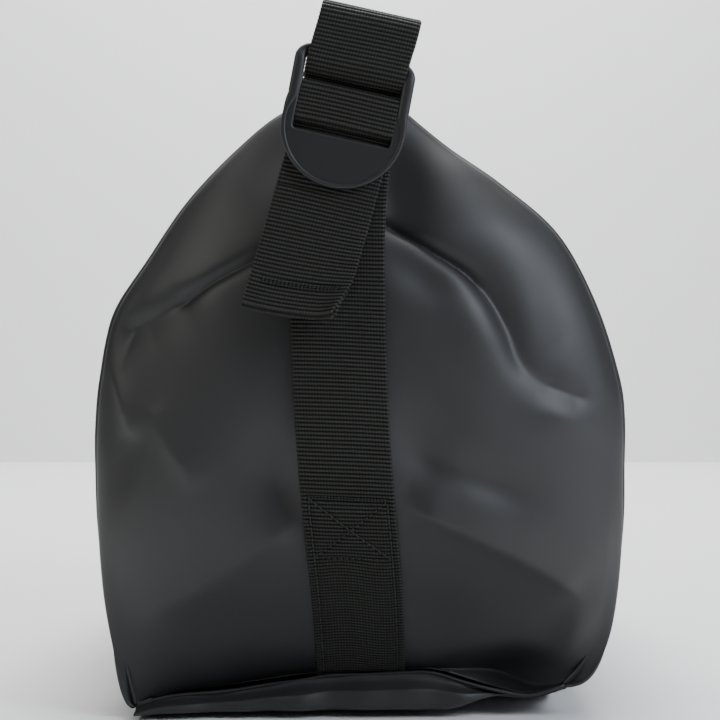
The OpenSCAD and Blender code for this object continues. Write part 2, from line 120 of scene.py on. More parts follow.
def smooth_step(x, low, high):
    """0 below low, 1 above high, and 3t^2 - 2t^3 between."""
    t = np.clip((x - low) / (high - low), 0, 1)
    return t * t * (3 - 2 * t)


# ---------------------------------------------------------------- making meshes


def make_mesh(name, points, faces, uv=None):
    """Object whose mesh has these points, in mm, and faces, with UVs per point in metres."""
    mesh = bpy.data.meshes.new(name)
    mesh.from_pydata((np.asarray(points, float) * MM).tolist(), [], faces)
    mesh.polygons.foreach_set("use_smooth", np.full(len(mesh.polygons), True))
    if uv is not None:
        corners = np.zeros(len(mesh.loops), np.int64)
        mesh.loops.foreach_get("vertex_index", corners)
        layer = mesh.uv_layers.new(name="UVMap")
        layer.data.foreach_set("uv", (np.asarray(uv) * MM)[corners].ravel())
    mesh.validate()
    obj = bpy.data.objects.new(name, mesh)
    bpy.context.scene.collection.objects.link(obj)
    return obj


def grid_faces(rows, columns, closed_across=False, start=0):
    """Quads between neighbours of a grid, which may close on itself across."""
    i = np.arange(rows - 1)[:, None]
    j = np.arange(columns if closed_across else columns - 1)[None, :]
    k = (j + 1) % columns
    low, high = i * columns, (i + 1) * columns
    return (np.stack([low + j, low + k, high + k, high + j], axis=2).reshape(-1, 4) + start).tolist()


def tube_faces(rings, sides):
    """Quads round a tube of rings, and a cap at each end."""
    last = (rings - 1) * sides
    caps = [list(range(sides))[::-1], list(range(last, last + sides))]
    return grid_faces(rings, sides, closed_across=True) + caps


def closed_sheet(outer, thickness, flip=False):
    """Closed sheet: the outer grid, every second row and column of a copy moved inwards along its normals,
    and a rim of three triangles to each inner edge. Rows and columns are odd numbers."""
    rows, columns = outer.shape[:2]
    inner = (outer - normals(outer) * (-thickness if flip else thickness))[::2, ::2]
    total = rows * columns
    faces = grid_faces(rows, columns)
    faces += [q[::-1] for q in grid_faces(*inner.shape[:2], start=total)]
    rim, inner_rim = border(rows, columns), border(*inner.shape[:2]) + total
    a, m, b = rim[::2], rim[1::2], np.roll(rim[::2], -1)
    c, d = inner_rim, np.roll(inner_rim, -1)
    for corners in ((m, a, c), (m, c, d), (b, m, d)):
        faces += np.stack(corners, axis=1).tolist()
    if not flip:
        faces = [q[::-1] for q in faces]
    return np.vstack([outer.reshape(-1, 3), inner.reshape(-1, 3)]), faces


def border(rows, columns):
    """Indices of the points round a grid's border."""
    ids = np.arange(rows * columns).reshape(rows, columns)
    return np.r_[ids[0, :-1], ids[:-1, -1], ids[-1, :0:-1], ids[:0:-1, 0]]


def tube(path, radius, sides=8, up=(0, 1, 0)):
    """Points and faces of a round tube along a path: each ring lies in the plane across the path."""
    path = np.asarray(path, float)
    along = np.gradient(path, axis=0)
    along /= np.linalg.norm(along, axis=1, keepdims=True)
    side = np.cross(along, np.asarray(up, float))
    side /= np.maximum(np.linalg.norm(side, axis=1, keepdims=True), 1e-9)
    other = np.cross(side, along)
    a = np.linspace(0, 2 * np.pi, sides, endpoint=False)
    radius = np.broadcast_to(radius, len(path))[:, None, None]
    cos, sin = np.cos(a)[None, :, None], np.sin(a)[None, :, None]
    ring = path[:, None] + radius * (cos * side[:, None] + sin * other[:, None])
    return ring.reshape(-1, 3), tube_faces(len(path), sides)


def join_parts(parts):
    """One list of points and one of faces from several."""
    points, faces, start = [], [], 0
    for p, f in parts:
        points.append(np.asarray(p, float))
        faces += [[k + start for k in q] for q in f]
        start += len(p)
    return np.vstack(points), faces


def mirrored(points):
    """The same points on the rear end."""
    return np.asarray(points, float) * [1, -1, 1]


def mirror_image(built):
    """A built piece on the rear end, with its faces turned over to suit."""
    points, faces, *uv = built
    return mirrored(points), [f[::-1] for f in faces], *uv


# ---------------------------------------------------------------- shell

ROWS = 261
left_curve = curve_through(LEFT_EDGE, ROWS)
right_curve = curve_through(RIGHT_EDGE, ROWS)
base_height = graph(BASE_SEAM)
belly = graph(BELLY)


def seam_y(v):
    """Distance of an end seam from the bag's middle at share v of the way up."""
    return SEAM_Y - 7 * (1 - v) ** 3 + 3 * v


def crease(x, z, path, depth, above, below, soft=1.2, taper=0.18):
    """Crease or ridge along a path: depth * exp(-(sqrt(n^2 + soft^2) - soft) / width), where n is the
    distance from the path, and width is above on its left and below on its right. The nearest place on the
    path is a mean of the near ones, so that a bend gives no seam. Depth, widths and softness may vary along
    it, and it fades over the taper share of its length at each end."""
    p = curve_through(path, 48)
    d = np.gradient(p, axis=0)
    d /= np.linalg.norm(d, axis=1, keepdims=True)
    dx, dz = x[..., None] - p[:, 0], z[..., None] - p[:, 1]
    r = np.hypot(dx, dz)
    near = np.exp(-(r - r.min(axis=2, keepdims=True)) / 1.6)
    near /= near.sum(axis=2, keepdims=True)
    side = (near * (d[:, 0] * dz - d[:, 1] * dx)).sum(axis=2)
    place = (near * np.linspace(0, 1, len(p))).sum(axis=2)
    r = r.min(axis=2)

    def along(v):
        v = np.atleast_1d(v)
        return np.interp(place, np.linspace(0, 1, len(v)), v)

    lean = 0.5 + 0.5 * np.tanh(side / 1.5)
    width = along(above) * lean + along(below) * (1 - lean)
    soft = along(soft)
    fade = smooth_step(place, 0, taper) * smooth_step(1 - place, 0, taper)
    return along(depth) * fade * np.exp(-(np.sqrt(r ** 2 + soft ** 2) - soft) / width)


def dent(x, z, at, depth, size, turn=0.0):
    """Soft round dent or hump: depth * exp(-r^2), with r measured on an ellipse turned by turn degrees."""
    c, s = math.cos(math.radians(turn)), math.sin(math.radians(turn))
    dx, dz = x - at[0], z - at[1]
    a, b = (dx * c + dz * s) / size[0], (dz * c - dx * s) / size[1]
    return depth * np.exp(-(a * a + b * b))


def front_folds(x, z):
    """How far the front end's folds stand out from its smooth shape at (x, z)."""
    f = np.zeros(x.shape)
    # the left shoulder's tuck: a thin sharp groove that opens into a soft pocket under an overhang
    f += crease(x, z, [(-26, 203), (-45, 193.5), (-58, 187), (-70, 180), (-80, 174.5)],
                [-2.4, -3.2, -3.4, -3.4, -2], 1.8, 1.6, 0.7, 0.15)
    f += crease(x, z, [(-58, 187), (-76, 176), (-92, 168), (-108, 164), (-126, 162)],
                [-1, -4, -5.5, -5, -4], [14, 20, 18, 14], [3, 5, 7, 8], [1, 2.5, 4], 0.3)
    # the right shoulder's tuck, with the belly's ridge below it
    f += crease(x, z, [(-2, 217), (10, 211.5), (20, 205.3), (31.2, 198), (43.7, 190.2), (51.5, 183)],
                [-2.6, -3.2, -3.2, -2.6, -1], 1.6, 1.4, 0.7, 0.1)
    f += crease(x, z, [(0, 216.5), (10, 211.5), (30, 198.5), (44, 189.5), (54, 179), (61, 166), (65.5, 154),
                       (73, 144.5), (82, 138)], [-2, -3, -3.8, -5.5, -7, -6.2, -4.8, -3, -1.2],
                [9, 9, 8, 7, 6.5, 8, 8], [2.5, 2.8, 3, 3.6, 5, 8], [0.5, 0.6, 1, 1.8, 2.5, 3])
    f += dent(x, z, (48, 166), 1.8, (11, 24), 28)
    f += dent(x, z, (26, 186), -2.0, (14, 8), -28)
    # the upper right panel: a faint hollow beside the tuck and a low hump above it
    f += dent(x, z, (77, 168), -0.8, (8, 18), 5)
    f += dent(x, z, (58, 207), 1.0, (20, 12), -40)
    # the star fold at the right
    f += crease(x, z, [(68, 147.5), (77, 143.2), (88, 138.6), (101, 134.5)], [-1, -2.1, -1.7, -0.4],
                4, 6, 1.2, 0.35)
    f += dent(x, z, (83, 129), 1.8, (13, 7), -12)
    # thin ridges at the left edge
    f += crease(x, z, [(-109, 157), (-103, 146), (-98, 134), (-94, 118)], [1.2, 2.6, 2.6, 1], 6, 4)
    f += crease(x, z, [(-88, 137), (-80, 122), (-71, 109), (-64, 98)], [0.8, 1.8, 2.2, 1], 9, 5, 2)
    f += dent(x, z, (-97, 112), -1.8, (6, 17), -12)
    # the hollow left of the boxed cross, and the ridge that leaves its foot
    f += dent(x, z, (-34, 104), -4.6, (13, 17), 15)
    f += crease(x, z, [(-20, 90), (-30, 84), (-45, 73), (-64, 60), (-86, 46), (-98, 40)],
                [2.5, 4, 3.6, 3, 2, 1], 12, 9, 2.5)
    # the hollows right of the strap, the long ridge below them, and the low corner under its end
    f += dent(x, z, (26, 116), -4.4, (12, 20), 25)
    f += dent(x, z, (52, 104), -3.2, (22, 9), -22)
    f += crease(x, z, [(13, 97), (30, 90), (50, 81), (68, 72), (84, 62), (97, 50)],
                [3, 5.4, 6, 5.6, 5, 2.6], 15, 7, 1.4)
    f += dent(x, z, (62, 15), -9, (23, 12), 14)
    f += dent(x, z, (91, 38), 3.2, (7, 16), -20)
    f += dent(x, z, (30, 48), -2.2, (14, 18), 0)
    # hollows beside the lock, where the strap pulls the top in
    f += dent(x, z, (12, 225), -8.5, (16, 21), 8)
    f += dent(x, z, (-38, 232), -1.6, (11, 16), -30)
    # slow waves over the belly
    f += 0.7 * np.sin(x / 17 + z / 31) * np.sin(z / 23 - x / 47)
    return f


def end_grid(folds, columns=237):
    """Front end's outer face. Each row runs from the left edge to the right one, and stands out by the
    belly's distance times (1 - |t|^2.3)^0.62, where t runs from -1 to 1 across. The folds fade out over the
    last fade_w mm before the seam."""
    v = np.linspace(0, 1, ROWS)[:, None]
    s = np.linspace(0, 1, columns)[None, :]
    u = 0.6 * s + 0.4 * (0.5 - 0.5 * np.cos(np.pi * s))
    t = 2 * u - 1
    x = left_curve[:, :1] + (right_curve[:, :1] - left_curve[:, :1]) * u
    z = left_curve[:, 1:] + (right_curve[:, 1:] - left_curve[:, 1:]) * u
    low = (1 - v) ** 7
    z = z + (base_height(x) - z) * low
    full = np.clip(1 - np.abs(t) ** 2.3, 0, 1) ** 0.62
    y = -(seam_y(v) + belly(z) * full)
    grid = np.stack([x, y + 0 * x, z], axis=2)
    half_w, fade_w = 112, 9
    edge = np.clip(np.minimum(u, 1 - u) * 2 * half_w / fade_w, 0, 1)
    keep = smooth_step(edge, 0, 1) * smooth_step(v, 0.0, 0.03)
    return grid + facing(grid, 1, -1) * (folds(x, z) * keep)[:, :, None]


def rear_folds(x, z):
    """The rear end's folds: the front's, seen in a mirror and a little shallower."""
    return 0.8 * front_folds(-x * 0.97 + 2, z * 0.985 + 1)


def side_grid(edge, side, columns=151):
    """A side panel's outer face. Share w runs along the bag from -1 to 1. The outline swells by
    SWELL * sin(pi v) * (1 - w^2), bulges just past the end seams, and carries long soft drag folds."""
    v = np.linspace(0, 1, ROWS)[:, None]
    w = np.linspace(-1, 1, columns)[None, :]
    w = np.sign(w) * (1 - (1 - np.abs(w)) ** 1.35)
    x = edge[:, :1] * (1 + SWELL * np.sin(np.pi * v) * (1 - w * w))
    z = edge[:, 1:] + 0 * w
    y = w * seam_y(v)
    z = z - (1 - v) ** 10 * np.maximum(edge[0, 1] - CORNER_Z, 0) * (1 - np.abs(w) ** 6)
    grid = np.stack([x, y, z + 0 * x], axis=2)
    from_seam = (1 - np.abs(w)) * SEAM_Y
    lip = 1.1 * smooth_step(from_seam, 0, 3.5) - 0.9 * (1 - smooth_step(from_seam, 0, 1.6))
    waves = (2.2 * np.sin(y / 31 + z / 26 + side) * np.sin(z / 37 - y / 70 + 1)
             + 1.3 * np.sin(y / 14 - z / 33 + 2 * side) * np.exp(-((z - 60) / 45) ** 2)
             + 1.1 * np.cos(y / 19 + z / 41) * np.exp(-((z - 215) / 30) ** 2))
    drag = (-2.4 * np.exp(-np.abs((z - 95) + 0.55 * (np.abs(y) - 110)) / 11)
            * smooth_step(np.abs(y), 40, 120))
    calm = smooth_step(from_seam, 2, 30) * smooth_step(v, 0, 0.1) * smooth_step(1 - v, 0, 0.08)
    return grid + facing(grid, 0, side) * (lip + (waves + drag) * calm)[:, :, None]


def base_grid(columns=121):
    """The base's underside. Share r runs in from an end seam: the cloth rolls down by the roll graph, swells
    by 5.5 sin(pi r / 0.8)^0.9 with wrinkles across, and runs in below the bag. It lies flat on the ground in
    the middle, and lifts at its front right corner."""
    r = np.linspace(0, 1, 60)[:, None]
    roll = graph([(0, 0), (0.10, 0.10), (0.28, 0.42), (0.5, 0.78), (0.75, 0.96), (1, 1)])
    u = np.linspace(0, 1, columns)
    x = BASE_LEFT + (BASE_RIGHT - BASE_LEFT) * u
    t = 2 * u - 1
    top = base_height(x) - 1.0
    seam = seam_y(0) - 0.5 - 3.0 * (1 - t * t)
    tucked = smooth_step(x, 34, 70)
    lift = (top - 1.3) * tucked
    arch = np.sin(np.pi * np.minimum(r / 0.8, 1))
    wrinkle = (1.3 * np.sin(x / 7.5 + 1.2 * np.sin(x / 19)) + 0.9 * np.sin(x / 3.9 + 2)) * arch * 0.8
    dip = 3.0 * np.sin(np.pi * np.minimum(r / 0.25, 1)) * (r < 0.25)
    run_in = 26 * np.maximum(r - 0.45, 0) ** 1.3
    y = seam - dip + (5.5 * arch ** 0.9 + wrinkle) * (1 - 1.6 * tucked) - run_in
    z = top + (np.minimum(GROUND + lift, top - 0.5) - top) * roll(r)
    front = np.stack([x + 0 * r, -y, z], axis=2)
    k = np.linspace(0.04, 1, 24)[:, None]
    flat = GROUND + (z[-1] - GROUND) * np.maximum(0, 1 - k * 3) ** 2
    middle = np.stack([x + 0 * k, -y[-1] * (1 - k), flat], axis=2)
    half = np.vstack([front, middle])
    return np.vstack([half, mirrored(half[-2::-1])])


front_grid = end_grid(front_folds)
rear_grid = end_grid(rear_folds)


# ---------------------------------------------------------------- webbing

class Ribbon:
    """A webbing's centre line, with the directions across and out of its face at each step of its run."""

    def __init__(self, centre, across):
        self.centre = centre
        self.across = np.broadcast_to(across, centre.shape)
        self.out = np.cross(self.across, np.gradient(centre, axis=0))
        self.out /= np.linalg.norm(self.out, axis=1, keepdims=True)
        self.run = np.r_[0, np.cumsum(np.linalg.norm(np.diff(centre, axis=0), axis=1))]

    def at(self, a, run, height):
        """The point a across, run along and height over the middle: centre + a * across + height * out."""
        pick = [np.stack([np.interp(run, self.run, v[:, k]) for k in range(3)], axis=-1)
                for v in (self.centre, self.across, self.out)]
        return pick[0] + np.asarray(a)[..., None] * pick[1] + np.asarray(height)[..., None] * pick[2]


def seam_press(rows, depth=0.42, width=0.85):
    """How far stitches pull the webbing in: depth * exp(-(d / width)^2), d being the distance from a row."""
    def press(a, run):
        pull = np.zeros(np.broadcast(a, run).shape)
        for a0, r0, a1, r1, _ in rows:
            da, dr = a1 - a0, r1 - r0
            t = np.clip(((a - a0) * da + (run - r0) * dr) / (da * da + dr * dr), 0, 1)
            d = np.hypot(a - a0 - da * t, run - r0 - dr * t)
            pull = np.maximum(pull, depth * np.exp(-(d / width) ** 2))
        return pull
    return press


def web_points(ribbon, width, top_columns=46, under_columns=14, press=None, wobble=None):
    """Closed tube of woven webbing along a ribbon. The section is two faces and two round edges. Both faces
    stand up in ribs across the web, RIB_H * |cos(pi s / pitch)|^1.2 high, where s is the run plus a small
    wobble, broken into beads by a shallow wave across. Gives its points, faces and UVs (across, run)."""
    run = ribbon.run
    half = np.broadcast_to(np.asarray(width) / 2, run.shape)[:, None]
    edge = np.radians([-60, -30, 0, 30, 60])
    inside = 1 - WEB_T / np.min(2 * half)
    a_top = np.linspace(-1, 1, top_columns) * inside
    a_under = np.linspace(1, -1, under_columns) * inside
    lip = inside + (1 - inside) * np.cos(edge)
    share = np.r_[a_top, lip, a_under, -lip]
    b = WEB_T / 2 * np.r_[np.ones(top_columns), np.sin(-edge), -np.ones(under_columns), np.sin(edge)]
    face = np.where(np.abs(b) > WEB_T / 2 - 1e-6, np.sign(b), 0)
    a = share[None, :] * half
    s = run[:, None] + 0.16 * np.sin(a / 9 + run[:, None] / 31)
    if wobble is not None:
        s = s + wobble(a, run[:, None])
    wave = np.abs(np.cos(np.pi * s / RIB_PITCH)) ** 1.2
    bead = 0.86 + 0.14 * np.cos(2 * np.pi * a / (WARP_PITCH * 2))
    height = RIB_H * (wave - 0.7) * np.where(face != 0, bead, 0.45)
    if press is not None:
        height = height - press(a, run[:, None]) * (face > 0)
    offset = b[None, :] + height * face[None, :]
    spread = a + np.where(face[None, :] == 0, height * np.sign(a), 0)
    points = ribbon.at(spread, np.broadcast_to(run[:, None], spread.shape), offset)
    uv = np.stack([a, s], axis=2)
    return points.reshape(-1, 3), tube_faces(*points.shape[:2]), uv.reshape(-1, 2)


def sewn(ribbon, rows, surface=WEB_T / 2, radius=THREAD_R):
    """Thread stitches laid along rows (a, run) to (a, run) at a pitch. A stitch covers two thirds of its
    pitch and its height over the surface is 0.3 sin(pi t) - 0.22, so it dives in at both ends."""
    starts, ends = [], []
    for a0, r0, a1, r1, pitch in rows:
        count = max(int(math.hypot(a1 - a0, r1 - r0) / pitch), 1)
        t = np.arange(count)[:, None] / count
        starts.append([a0, r0] + np.array([a1 - a0, r1 - r0]) * t)
        ends.append([a0, r0] + np.array([a1 - a0, r1 - r0]) * (t + 0.66 / count))
    starts, ends = np.vstack(starts), np.vstack(ends)
    steps, sides = 5, 6
    t = np.linspace(0, 1, steps)[None, :]
    a = starts[:, :1] + (ends[:, :1] - starts[:, :1]) * t
    run = starts[:, 1:] + (ends[:, 1:] - starts[:, 1:]) * t
    height = surface - 0.22 + 0.3 * np.sin(np.pi * t) + 0 * a
    path = ribbon.at(a, run, height)
    out = ribbon.at(a, run, height + 1) - path
    along = np.gradient(path, axis=1)
    side = np.cross(along, out)
    side /= np.linalg.norm(side, axis=2, keepdims=True)
    q = np.linspace(0, 2 * np.pi, sides, endpoint=False)[:, None]
    ring = path[:, :, None] + radius * (np.cos(q) * side[:, :, None] + np.sin(q) * out[:, :, None])
    one = tube_faces(steps, sides)
    return ring.reshape(-1, 3), [[k + steps * sides * n for k in f] for n in range(len(ends)) for f in one]


def resample(path, step):
    """The path's points an equal step apart."""
    run = np.r_[0, np.cumsum(np.linalg.norm(np.diff(path, axis=0), axis=1))]
    at = np.linspace(0, run[-1], max(int(run[-1] / step), 4))
    return np.stack([np.interp(at, run, path[:, k]) for k in range(path.shape[1])], axis=1)


def arc(centre, radius, start, end, count):
    """Points of an arc from start to end degrees."""
    a = np.radians(np.linspace(start, end, count))
    return np.stack([centre[0] + radius * np.cos(a), centre[1] + radius * np.sin(a)], axis=1)


# ---------------------------------------------------------------- lock, in its own frame round the ladder bar

joints = {j["name"]: j for j in frame["joints"]}
LOCK_AT = np.array(joints["lock_tilt_front"]["pos_m"]) / MM
LOCK_X = -np.array(joints["lock_tilt_front"]["axis"])
LOCK_Z = np.cross(LOCK_X, [0, 1, 0])
TAIL_AT = np.array(joints["tail_lift_front"]["pos_m"]) / MM
TAIL_X = -np.array(joints["tail_lift_front"]["axis"])
TAIL_Z = np.cross(TAIL_X, [0, 1, 0])
TAIL_TURN = math.acos(min(float(TAIL_X @ LOCK_X), 1.0))  # how much further the tail leans than the lock

CURL_FROM = 9.0  # the tail's right side curls from this far past its middle
CURL_R = 16.0
TAB_R = 24.7
TAB_LIFT = -9.0  # the tab's round is centred this far below the ladder bar
TAB_TOP = -13.5
RAIL_IN = 19.8
RAIL_W = 4.6
RAIL_MID = RAIL_IN + RAIL_W / 2
LADDER_H = 10.0
LADDER_T = 2.6
TOP_BAR_H = 19.0
TOP_BAR_R = 2.2
TURN_R = LADDER_T / 2 + 0.2 + WEB_T / 2


def at_lock(points, origin=LOCK_AT, x_axis=LOCK_X, z_axis=LOCK_Z):
    """Places points drawn round the front lock (x across, y inwards, z up the strap)."""
    p = np.asarray(points, float)
    return origin + p[:, :1] * x_axis + p[:, 1:2] * np.array([0, 1, 0]) + p[:, 2:] * z_axis


def lock_ribbon(path, origin=LOCK_AT, x_axis=LOCK_X, z_axis=LOCK_Z, step=0.28, shift=None, side=1):
    """Webbing's ribbon along a path of (y, z) in a lock's frame, shifted sideways where it leans. Side is -1
    where the path runs down and its face still has to be the one away from the bag."""
    path = resample(np.asarray(path, float), step)
    x = 0 * path[:, 0] if shift is None else shift(path[:, 0], path[:, 1])
    centre = at_lock(np.stack([x, path[:, 0], path[:, 1]], axis=1), origin, x_axis, z_axis)
    return Ribbon(centre, side * x_axis)


def outline_plate(name, loop, thickness, bevel):
    """Flat plate with round edges from a closed (x, z) loop: a 2-D curve with depth and bevel. Gives its
    points and faces."""
    data = bpy.data.curves.new(name, "CURVE")
    data.dimensions = "2D"
    data.fill_mode = "BOTH"
    data.extrude = (thickness / 2 - bevel) * MM
    data.bevel_depth = bevel * MM
    data.bevel_resolution = 4
    data.offset = -bevel * MM
    spline = data.splines.new("POLY")
    spline.points.add(len(loop) - 1)
    spline.points.foreach_set("co", np.c_[loop * MM, np.zeros(len(loop)), np.ones(len(loop))].ravel())
    spline.use_cyclic_u = True
    obj = bpy.data.objects.new(name, data)
    bpy.context.scene.collection.objects.link(obj)
    mesh = bpy.data.meshes.new_from_object(obj.evaluated_get(bpy.context.evaluated_depsgraph_get()))
    co = np.zeros(len(mesh.vertices) * 3)
    mesh.vertices.foreach_get("co", co)
    co = co.reshape(-1, 3) / MM
    faces = [list(p.vertices) for p in mesh.polygons]
    bpy.data.objects.remove(obj)
    bpy.data.curves.remove(data)
    bpy.data.meshes.remove(mesh)
    return np.stack([co[:, 0], -co[:, 2], co[:, 1]], axis=1), faces


def round_bar(path, width, depth, power=2.6, sides=20, closed=False):
    """Bar swept along a path of (x, y, z), whose section is the superellipse |a|^p + |b|^p = 1."""
    path = np.asarray(path, float)
    along = np.roll(path, -1, axis=0) - np.roll(path, 1, axis=0) if closed else np.gradient(path, axis=0)
    along /= np.linalg.norm(along, axis=1, keepdims=True)
    deep = np.broadcast_to([0, 1.0, 0], path.shape)
    wide = np.cross(deep, along)
    wide /= np.linalg.norm(wide, axis=1, keepdims=True)
    q = np.linspace(0, 2 * np.pi, sides, endpoint=False)
    a = np.sign(np.cos(q)) * np.abs(np.cos(q)) ** (2 / power)
    b = np.sign(np.sin(q)) * np.abs(np.sin(q)) ** (2 / power)
    width = np.broadcast_to(width, len(path))[:, None, None]
    depth = np.broadcast_to(depth, len(path))[:, None, None]
    ring = (path[:, None] + width / 2 * a[None, :, None] * wide[:, None]
            + depth / 2 * b[None, :, None] * deep[:, None])
    if closed:
        ids = np.arange(len(path) * sides).reshape(len(path), sides)
        nxt = np.roll(ids, -1, axis=0)
        quads = np.stack([ids, np.roll(ids, -1, axis=1), np.roll(nxt, -1, axis=1), nxt], axis=2)
        return ring.reshape(-1, 3), quads.reshape(-1, 4).tolist()
    return ring.reshape(-1, 3), tube_faces(len(path), sides)


def lock_points():
    """The lock: one bar round its whole outline (rim of the thumb tab, rails and top bar), the tab's face set
    back inside the rim, and the ladder bar."""
    rim_r = TAB_R - 1.0
    meet = math.degrees(math.acos(RAIL_MID / rim_r))
    corner = 4.2
    half = np.vstack([arc((0, TAB_LIFT), rim_r, 270, 180 - meet, 44),
                      [(-RAIL_MID, z) for z in np.linspace(0, TOP_BAR_H - corner, 10)],
                      arc((-RAIL_MID + corner, TOP_BAR_H - corner), corner, 180, 90, 10)[1:],
                      [(x, TOP_BAR_H) for x in np.linspace(-RAIL_MID + corner, 0, 7)[1:]]])
    loop = np.vstack([half, half[-2:0:-1] * [-1, 1]])
    rail = smooth_step(loop[:, 1], -9, 1)
    top = smooth_step(loop[:, 1], TOP_BAR_H - corner - 1, TOP_BAR_H)
    rim_w, rim_d, rail_d = 2.0, 3.2, 4.7
    wide = rim_w + (RAIL_W - rim_w) * rail + (2 * TOP_BAR_R - RAIL_W) * top
    deep = rim_d + (rail_d - rim_d) * rail + (2 * TOP_BAR_R - rail_d) * top
    narrowed = loop[:, 0] - 0.035 * np.clip(loop[:, 1], 0, None)
    line = np.stack([narrowed, (-2.15 + 0.7 * rail) * (1 - top), loop[:, 1]], axis=1)
    rim = round_bar(line, wide, deep, 2.8, 24, closed=True)
    shoulder, fillet = 9.0, 1.6
    window = np.vstack([[(RAIL_IN, shoulder)], arc((RAIL_IN - fillet, TAB_TOP + fillet), fillet, 0, -90, 6),
                        arc((fillet - RAIL_IN, TAB_TOP + fillet), fillet, -90, -180, 6),
                        [(-RAIL_IN, shoulder)]])
    outline = np.vstack([arc((0, TAB_LIFT), rim_r, 180 - meet, 360 + meet, 80), [(RAIL_MID, shoulder)],
                         window, [(-RAIL_MID, shoulder)]])
    plate, plate_faces = outline_plate("tab", outline, 2.3, 0.8)
    face = (plate + [0, -2.0, 0], plate_faces)
    ladder = round_bar([(x, 0, 0) for x in np.linspace(-RAIL_MID, RAIL_MID, 6)], LADDER_H, LADDER_T, 3.5, 28)
    return join_parts([rim, face, ladder])


def both_ends(name, built, body, nodes):
    """Makes a piece for the front end and its mirror image for the rear."""
    made = []
    for end, shape in (("front", built), ("rear", mirror_image(built))):
        obj = make_mesh(f"{name}_{end}", *shape)
        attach(obj, body.format(end=end))
        if nodes:
            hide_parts(*[n.format(end=end) for n in nodes])
        made.append(obj)
    return made


# ---------------------------------------------------------------- strap paths

turn_low = -LADDER_H / 2 - 1.5
bar_end = LADDER_H / 2 - LADDER_T / 2
hinge_h = float((TAIL_AT - LOCK_AT) @ LOCK_Z)
turn_path = np.vstack([[(TURN_R, turn_low - 2)], arc((0, bar_end), TURN_R, 0, 180, 20),
                       arc((-0.8, -7.6), TURN_R - 0.8, 180, 262, 10),
                       [(0.1, -9.9), (0.5, -11.4), (0.5, TAB_TOP - 3.2), (0.25, TAB_TOP - 9),
                        (0.2, hinge_h)]])
tail_run = curve_through([(0.2, 0), (-0.2, -10), (-1.6, -26), (-4.2, -41), (-6.2, -49)], 40)
tail_path = np.vstack([tail_run, arc((-6.2 + 1.15, -49.2), 1.15, 186, 350, 12), [(-3.2, -42), (-2.1, -33)]])


def curled(points):
    """The tail's points with its loose end set: a shear makes its first rib follow the lock's lean and turns
    the others level down its length, and past CURL_FROM its right side bends to the front round CURL_R."""
    p = points - TAIL_AT
    a, out, z = p @ TAIL_X, -p[:, 1], p @ TAIL_Z
    low = smooth_step(-z, 4, 46)
    z = z + a * np.tan(TAIL_TURN + (math.radians(8) - TAIL_TURN) * low) + 0.004 * a * a * low
    bent = np.clip((a - CURL_FROM) / CURL_R, 0, None) * smooth_step(-z, 26, 44)
    a = np.where(bent > 0, CURL_FROM + (a - CURL_FROM) * (1 - bent * bent / 6) - out * np.sin(bent), a)
    out = out * np.cos(bent) + CURL_R * (1 - np.cos(bent))
    return TAIL_AT + a[:, None] * TAIL_X - out[:, None] * np.array([0, 1, 0]) + z[:, None] * TAIL_Z


LOOP_R = 7 + WEB_T / 2
FOLD_R = 6
CROWN = 58.0
RISE_END = 100  # the fold turns the strap this many degrees, on to the arch
SEWN_L = 44  # how long the strap's end is doubled
front_y = -(TOP_BAR_R + 0.4 + WEB_T / 2)
loop_c = (front_y + LOOP_R, TOP_BAR_H - 2.3)
fold_c = np.array([front_y + FOLD_R, 32.8])
crown_y = -LOCK_AT[1]
arch_start = arc(fold_c, FOLD_R, RISE_END, RISE_END, 1)[0]


def arch_z(y):
    """Height of the carry strap over the ladder bar, CROWN less a power of the distance from its middle."""
    return CROWN - (CROWN - arch_start[1]) * (np.abs(crown_y - y) / (crown_y - arch_start[0])) ** 1.6


def carry_path():
    """The carry strap's centre line as (y, z): doubled end, loop round the top bar, fold, and arch to the
    middle, then the same again to the rear."""
    ply = WEB_T + 0.2
    y = arch_start[0] + SEWN_L * np.linspace(1, 0.06, 10)
    doubled = np.stack([y, arch_z(y) - ply], axis=1)
    drop = curve_through([(front_y + ply, 31), (front_y + ply + 1.5, 28.3),
                          (front_y + ply + 7, TOP_BAR_H + 6.5), (loop_c[0] + LOOP_R, loop_c[1] + 2)], 16)
    half = np.vstack([doubled, arc(fold_c, FOLD_R - ply, RISE_END, 180, 10), drop,
                      arc(loop_c, LOOP_R, 0, -180, 30), arc(fold_c, FOLD_R, 180, RISE_END, 14)])
    y = np.linspace(arch_start[0], crown_y, 30)[1:]
    half = np.vstack([half, np.stack([y, arch_z(y)], axis=1)])
    back = half[-2::-1] * [-1, 1] + [2 * crown_y, 0]
    return np.vstack([half, back])


def carry_shift(y, z):
    """The carry strap's sideways lean: 1.2 mm at its folds, and back over the bag's middle along the arch."""
    away = np.abs(crown_y - y) / crown_y
    return 1.2 * smooth_step(z, 12, 36) - 5 * np.clip(1 - away ** 2, 0, 1)


# The end strap's middle line from the bag's, and its lean in degrees, by height
strap_x = graph([(16, 0.2), (30, 0.0), (60, -1.6), (100, -5.2), (130, -7.3), (157, -8.4), (185, -9),
                 (215, -9), (235, -7.4), (246, -6)])
strap_lean = graph([(16, 0), (60, 1.2), (100, 3), (157, 2.5), (200, 2), (225, 5), (240, 11.5), (246, 12.6)])


def panel_columns(grid, dx):
    """(z, y) of the grid's rows along the strap's middle line moved sideways by dx, from the ground up."""
    found = []
    for row in grid:
        x0 = strap_x(np.interp(dx, row[:, 0], row[:, 2])) + dx
        found.append((np.interp(x0, row[:, 0], row[:, 2]), np.interp(x0, row[:, 0], row[:, 1])))
    return np.array(sorted(found))


